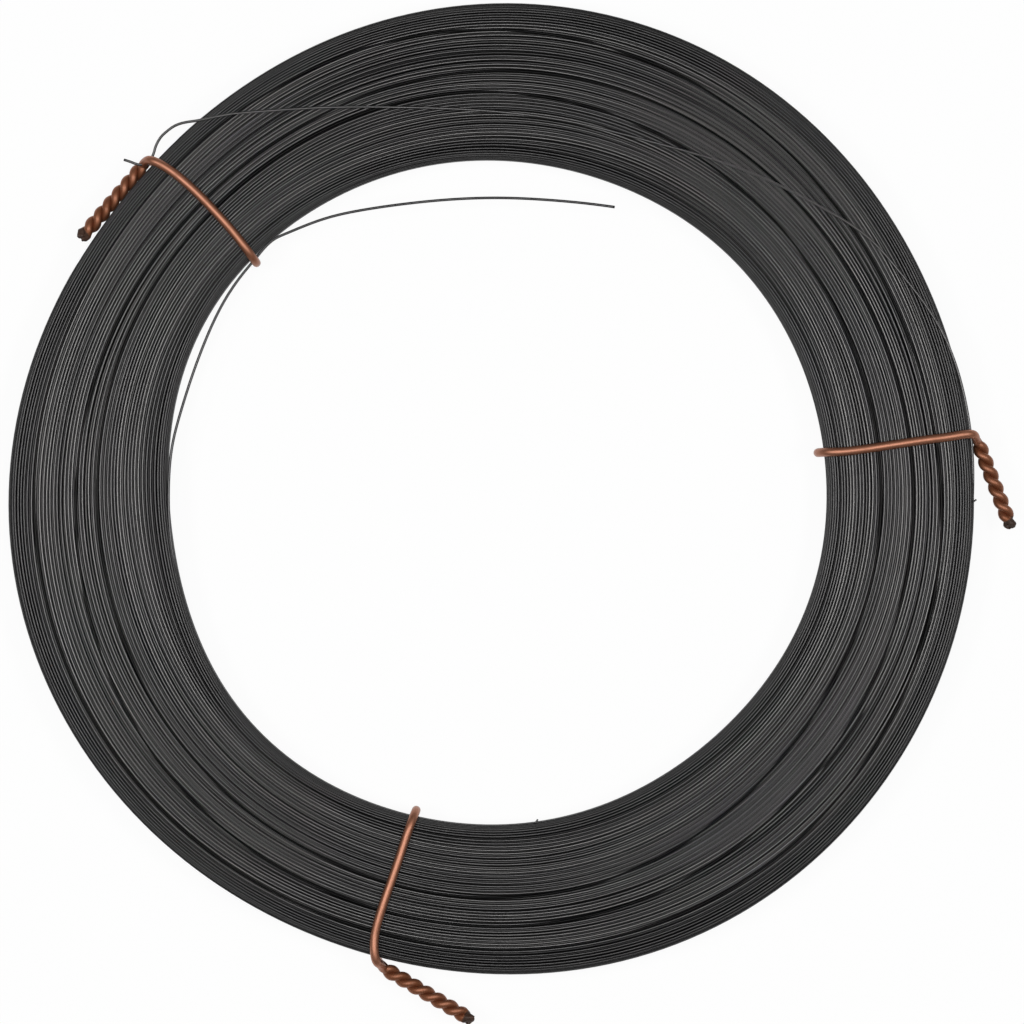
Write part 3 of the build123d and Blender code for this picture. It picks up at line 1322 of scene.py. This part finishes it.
def new_group(
    name: str, inputs: dict[str, tuple[str, object]], outputs: dict[str, str]
) -> tuple[Graph, dict, dict]:
    """Starts a shader node group.

    Args:
        name: The group's name.
        inputs: Each input's name, socket type and first value.
        outputs: Each output's name and socket type.

    Returns:
        The group's graph, its input sockets by name, and its output sockets by name.
    """
    tree = bpy.data.node_groups.new(name, "ShaderNodeTree")
    for label, (kind, value) in inputs.items():
        socket = tree.interface.new_socket(label, in_out="INPUT", socket_type=kind)
        if value is not None:
            socket.default_value = value
    for label, kind in outputs.items():
        tree.interface.new_socket(label, in_out="OUTPUT", socket_type=kind)
    graph = Graph(tree)
    entry, leave = graph.add("NodeGroupInput"), graph.add("NodeGroupOutput")
    return graph, {s.name: s for s in entry.outputs if s.name}, {s.name: s for s in leave.inputs if s.name}


def drawn_grain() -> bpy.types.NodeTree:
    """Fine lines along a drawn wire, built once.

    Returns:
        A group that takes the straightened place and two scales, and gives a value from 0 to 1.
    """
    if "drawn_grain" in bpy.data.node_groups:
        return bpy.data.node_groups["drawn_grain"]
    inputs = {
        "Place": ("NodeSocketVector", None),
        "Along": ("NodeSocketFloat", 0.2),
        "Round": ("NodeSocketFloat", 6.0),
    }
    graph, given, result = new_group("drawn_grain", inputs, {"Grain": "NodeSocketFloat"})
    scales = graph.add("ShaderNodeCombineXYZ", X=given["Along"], Y=given["Round"], Z=given["Round"])
    stretched = graph.add("ShaderNodeVectorMath", {"operation": "MULTIPLY"})
    graph.feed(stretched, 0, given["Place"])
    graph.feed(stretched, 1, scales.outputs[0])
    noise = graph.add("ShaderNodeTexNoise", Vector=stretched.outputs[0], Scale=1.0, Detail=3.0)
    graph.feed(noise, "Roughness", 0.6)
    graph.tree.links.new(noise.outputs["Fac"], result["Grain"])
    return graph.tree


def patches() -> bpy.types.NodeTree:
    """Patches of stain over a surface, built once.

    Returns:
        A group that takes a place, a scale, how much is covered and how soft the patches' edges
        are, and gives a mask.
    """
    if "patches" in bpy.data.node_groups:
        return bpy.data.node_groups["patches"]
    inputs = {
        "Place": ("NodeSocketVector", None),
        "Scale": ("NodeSocketFloat", 1.0),
        "Cover": ("NodeSocketFloat", 0.3),
        "Edge": ("NodeSocketFloat", 0.1),
    }
    graph, given, result = new_group("patches", inputs, {"Mask": "NodeSocketFloat"})
    noise = graph.add("ShaderNodeTexNoise", Vector=given["Place"], Scale=given["Scale"], Detail=4.0)
    graph.feed(noise, "Roughness", 0.62)
    edge = graph.math("SUBTRACT", 1.0, given["Cover"])
    top = graph.math("ADD", edge, given["Edge"])
    graph.tree.links.new(graph.ramp(noise.outputs["Fac"], edge, top), result["Mask"])
    return graph.tree


@dataclass(frozen=True)
class SteelFinish:
    """Dark drawn steel with a satin sheen.

    Attributes:
        dark: The colour of the darkest turns.
        pale: The colour of the palest turns.
        rust: The colour of the few brown specks.
        painted_shade: The painted shade's colour, near black, for what lies in the dark between and under
            the turns.
        roughness: Its mean roughness.
        rougher: How much less and how much more than that it is from place to place.
        metallic: How metallic it is.
        own_share: How much of a turn's shade is its own.
        slow_share: How much of it changes slowly along the wire.
        line_share: How much of it is in the fine drawn lines.
        speck_share: How strongly the specks show.
    """

    dark: tuple[float, float, float, float] = (0.028, 0.028, 0.0306, 1)
    pale: tuple[float, float, float, float] = (0.172, 0.168, 0.164, 1)
    rust: tuple[float, float, float, float] = (0.12, 0.055, 0.03, 1)
    painted_shade: tuple[float, float, float, float] = (0.005, 0.005, 0.005, 1)
    roughness: float = 0.37
    rougher: tuple[float, float] = (-0.05, 0.06)
    metallic: float = 0.9
    own_share: float = 0.5
    slow_share: float = 0.45
    line_share: float = 0.2
    speck_share: float = 0.6

    def material(self) -> bpy.types.Material:
        """The steel's material, built once.

        Returns:
            The material.
        """
        if "drawn_steel" in bpy.data.materials:
            return bpy.data.materials["drawn_steel"]
        made = bpy.data.materials.new("drawn_steel")
        made.use_nodes = True
        graph = Graph(made.node_tree)
        shader = made.node_tree.nodes["Principled BSDF"]
        straight = graph.carried(STRAIGHT, "Vector")
        place = graph.add("ShaderNodeTexCoord").outputs["Object"]
        fine = graph.group(drawn_grain(), Place=straight, Along=0.12, Round=9.0)
        slow = graph.group(drawn_grain(), Place=straight, Along=0.02, Round=1.0)
        specks = graph.group(patches(), Place=place, Scale=420.0, Cover=0.27, Edge=0.06)
        lines = graph.ramp(fine, *LINES_RANGE)
        own = graph.times(graph.carried(TONE), self.own_share)
        shade = graph.math("ADD", own, graph.times(slow, self.slow_share))
        shade = graph.times(shade, 1 - self.line_share)
        shade = graph.math("ADD", shade, graph.times(lines, self.line_share))
        color = graph.mix_color(shade, self.dark, self.pale)
        color = graph.mix_color(graph.times(specks, self.speck_share), color, self.rust)
        # Painted shade: the carried shade value darkens the steel towards near black.
        color = graph.mix_color(graph.carried(AGE_AND_SHADE), color, self.painted_shade)
        least, most = (self.roughness + change for change in self.rougher)
        bump = graph.add("ShaderNodeBump", Height=lines, Strength=0.12, Distance=0.00002)
        graph.feed(shader, "Base Color", color)
        graph.feed(shader, "Roughness", graph.ramp(slow, *SLOW_RANGE, least, most))
        graph.feed(shader, "Normal", bump.outputs["Normal"])
        graph.feed(shader, "Metallic", self.metallic)
        return made


@dataclass(frozen=True)
class CopperFinish:
    """Bare copper wire, satin on the loops and browned along the twisted tails.

    Attributes:
        bare: The clean copper's colour.
        brown: The browned copper's colour.
        char: The colour of the ragged tips.
        roughness: The clean copper's roughness.
        brown_roughness: The browned copper's roughness.
        metallic: How metallic the clean copper is.
        char_metallic: How metallic the ragged tips are.
        coat: How much of a smoother skin the clean copper has.
        brown_coat: How much of it is left on the browned copper.
        coat_roughness: The skin's roughness.
        full_brown: The carried value at which the copper is wholly browned.
        charred: The ages between which it turns dark.
        dulled: The ages between which its skin wears off.
        mottle: How strongly the stains show.
        clean_stain: How strongly they show where the copper is clean.
        stain_roughness: How much rougher they are.
        line_height: How high the drawn lines stand beside the stains.
        line_share: How strongly the fine drawn lines show.
        edge_wander: How unevenly the dark of the tips ends.
    """

    bare: tuple[float, float, float, float] = (0.42, 0.182, 0.11, 1)
    brown: tuple[float, float, float, float] = (0.25, 0.09, 0.04, 1)
    char: tuple[float, float, float, float] = (0.05, 0.027, 0.018, 1)
    roughness: float = 0.5
    brown_roughness: float = 0.62
    metallic: float = 0.86
    char_metallic: float = 0.4
    coat: float = 0.3
    brown_coat: float = 0.08
    coat_roughness: float = 0.3
    full_brown: float = 0.75
    charred: tuple[float, float] = (0.78, 0.95)
    dulled: tuple[float, float] = (0.3, 0.9)
    mottle: float = 0.55
    clean_stain: float = 0.6
    stain_roughness: float = 0.25
    line_height: float = 0.5
    line_share: float = 0.25
    edge_wander: float = 0.16

    def material(self) -> bpy.types.Material:
        """The copper's material, built once.

        Returns:
            The material.
        """
        if "bare_copper" in bpy.data.materials:
            return bpy.data.materials["bare_copper"]
        made = bpy.data.materials.new("bare_copper")
        made.use_nodes = True
        graph = Graph(made.node_tree)
        shader = made.node_tree.nodes["Principled BSDF"]
        straight, age = graph.carried(STRAIGHT, "Vector"), graph.carried(AGE_AND_SHADE)
        place = graph.add("ShaderNodeTexCoord").outputs["Object"]
        fine = graph.group(drawn_grain(), Place=straight, Along=0.25, Round=5.0)
        lines = graph.ramp(fine, *LINES_RANGE)
        stains = graph.group(patches(), Place=place, Scale=260.0, Cover=0.5, Edge=0.3)
        mottle = graph.times(stains, self.mottle)
        stained = graph.times(mottle, graph.math("ADD", age, self.clean_stain))
        browned = graph.math("ADD", graph.ramp(age, 0.0, self.full_brown), stained)
        uneven = graph.times(graph.math("SUBTRACT", stains, 0.5), self.edge_wander)
        dark = graph.ramp(graph.math("ADD", age, uneven), *self.charred)
        color = graph.mix_color(graph.times(lines, self.line_share), self.bare, self.brown)
        color = graph.mix_color(graph.math("MINIMUM", browned, 1.0), color, self.brown)
        color = graph.mix_color(dark, color, self.char)
        rough = graph.ramp(age, 0.0, 0.9, self.roughness, self.brown_roughness)
        rough = graph.math("ADD", rough, graph.times(mottle, self.stain_roughness))
        height = graph.math("ADD", graph.times(lines, self.line_height), mottle)
        bump = graph.add("ShaderNodeBump", Height=height, Strength=0.25, Distance=0.00005)
        graph.feed(shader, "Base Color", color)
        graph.feed(shader, "Roughness", rough)
        graph.feed(shader, "Normal", bump.outputs["Normal"])
        graph.feed(shader, "Metallic", graph.ramp(age, 0.7, 1.0, self.metallic, self.char_metallic))
        graph.feed(shader, "Coat Weight", graph.ramp(age, *self.dulled, self.coat, self.brown_coat))
        graph.feed(shader, "Coat Roughness", self.coat_roughness)
        return made


# The photograph's view, the floor and the lights


@dataclass(frozen=True)
class SoftBox:
    """A rectangular soft light, aimed at the coil.

    Attributes:
        name: Its name.
        place: Where it is, in metres.
        size: Its length and width, in metres.
        power: Its power in watts.
    """

    name: str
    place: tuple[float, float, float]
    size: tuple[float, float]
    power: float

    def build(self) -> None:
        """Adds the light."""
        light = bpy.data.lights.new(self.name, "AREA")
        light.shape = "RECTANGLE"
        light.size, light.size_y = self.size
        light.energy = self.power
        lamp = bpy.data.objects.new(self.name, light)
        lamp.location = self.place
        lamp.rotation_euler = (-Vector(self.place)).to_track_quat("-Z", "Y").to_euler()
        bpy.context.scene.collection.objects.link(lamp)


@dataclass
class Studio:
    """A pale floor, a soft light overhead and one on each side, and a camera that looks straight down.

    Attributes:
        form: The pack's form.
        photo_scale: The photograph's scale at the pack's middle, in pixels a millimetre.
        coil_pixel: Where the coil's axis is in the photograph.
        distance: How far the camera is above the pack's middle, in metres.
        sensor: The camera's sensor width, in millimetres.
        clip: The nearest and the furthest that the camera sees, in metres.
        ambient: The strength of the light from all round.
        lights: The soft lights.
        floor_half: Half the floor's side, in metres.
        floor_show: How much of the floor's white is its own colour under the lights.
    """

    form: PackForm
    photo_scale: float = 5.41
    coil_pixel: tuple[float, float] = (495.0, 490.0)
    distance: float = 1.3
    sensor: float = 36.0
    clip: tuple[float, float] = (0.05, 20.0)
    ambient: float = 0.08
    lights: tuple[SoftBox, ...] = (
        SoftBox("soft_light_above", (-0.04, 0.0, 1.25), (0.6, 0.6), 6.4),
        SoftBox("soft_light_left", (-0.62, 0.0, 1.1), (0.4, 0.3), 4.4),
        SoftBox("soft_light_right", (0.62, 0.0, 1.1), (0.4, 0.3), 4.4),
    )
    floor_half: float = 1.5
    floor_show: float = 0.07

    def build(self) -> None:
        """Makes the camera, the lights, the background and the floor."""
        self._camera()
        for light in self.lights:
            light.build()
        self._background()
        self._floor()

    def _camera(self) -> None:
        """Puts the camera over the middle of the photograph, at its scale."""
        shown = PHOTO_SIDE / self.photo_scale * MM
        middle = PHOTO_SIDE / 2
        x = (middle - self.coil_pixel[0]) / self.photo_scale * MM
        y = (self.coil_pixel[1] - middle) / self.photo_scale * MM
        lens = bpy.data.cameras.new("photo_camera")
        lens.sensor_width = self.sensor
        lens.lens = self.sensor * self.distance / shown
        lens.clip_start, lens.clip_end = self.clip
        camera = bpy.data.objects.new("photo_camera", lens)
        camera.location = (x, y, self.distance + self.form.middle * MM)
        bpy.context.scene.collection.objects.link(camera)
        bpy.context.scene.camera = camera

    def _background(self) -> None:
        """Makes the world white to the camera and through what is clear, and dim as a light."""
        world = bpy.data.worlds.new("studio")
        world.use_nodes = True
        bpy.context.scene.world = world
        graph = Graph(world.node_tree)
        plain = world.node_tree.nodes["Background"]
        rays = graph.add("ShaderNodeLightPath")
        seen = graph.math("MAXIMUM", rays.outputs["Is Camera Ray"], rays.outputs["Is Transmission Ray"])
        strength = graph.math("ADD", graph.times(seen, 1 - self.ambient), self.ambient)
        graph.feed(plain, "Strength", strength)
        graph.feed(plain, "Color", (1, 1, 1, 1))

    def _floor(self) -> None:
        """Makes the pale floor, which shows white and still takes the coil's soft shadow."""
        half = self.floor_half
        corners = [(-half, -half, 0), (half, -half, 0), (half, half, 0), (-half, half, 0)]
        mesh = bpy.data.meshes.new("floor")
        mesh.from_pydata(corners, [], [(0, 1, 2, 3)])
        floor = bpy.data.objects.new("floor", mesh)
        bpy.context.scene.collection.objects.link(floor)
        mesh.materials.append(self._floor_paint())

    def _floor_paint(self) -> bpy.types.Material:
        """The floor's material: matte paint in every light, mostly plain white to the eye.

        Returns:
            The material.
        """
        made = bpy.data.materials.new("pale_floor")
        made.use_nodes = True
        graph = Graph(made.node_tree)
        made.node_tree.nodes.remove(made.node_tree.nodes["Principled BSDF"])
        grain = graph.add("ShaderNodeTexNoise", Scale=60.0, Detail=2.0)
        paint = graph.mix_color(grain.outputs["Fac"], (0.9, 0.9, 0.9, 1), (0.94, 0.94, 0.94, 1))
        matte = graph.add("ShaderNodeBsdfDiffuse", Color=paint)
        white = graph.add("ShaderNodeEmission", Color=(1, 1, 1, 1), Strength=1.0)
        rays = graph.add("ShaderNodeLightPath")
        shows = graph.math("MAXIMUM", rays.outputs["Is Camera Ray"], rays.outputs["Is Glossy Ray"])
        shows = graph.math("MAXIMUM", shows, rays.outputs["Is Transmission Ray"])
        share = graph.times(shows, 1 - self.floor_show)
        blend = graph.add("ShaderNodeMixShader")
        for number, value in enumerate((share, matte.outputs[0], white.outputs[0])):
            graph.feed(blend, number, value)
        graph.feed(made.node_tree.nodes["Material Output"], "Surface", blend.outputs[0])
        return made


def main() -> None:
    """Builds the coil's pieces in order, then the studio."""
    logging.basicConfig(level=logging.INFO, format="%(name)s: %(message)s")
    bpy.context.scene.view_settings.view_transform = "Standard"
    form = PackForm()
    steel, copper = SteelFinish(), CopperFinish()
    PackHeart(form).build(steel)
    WoundTurns(form).build(steel)
    for end in (inner_end(), outer_end(), *burrs()):
        end.build(steel)
    for tie in three_ties(form):
        tie.build(copper)
    Studio(form).build()


if __name__ == "__main__":
    main()
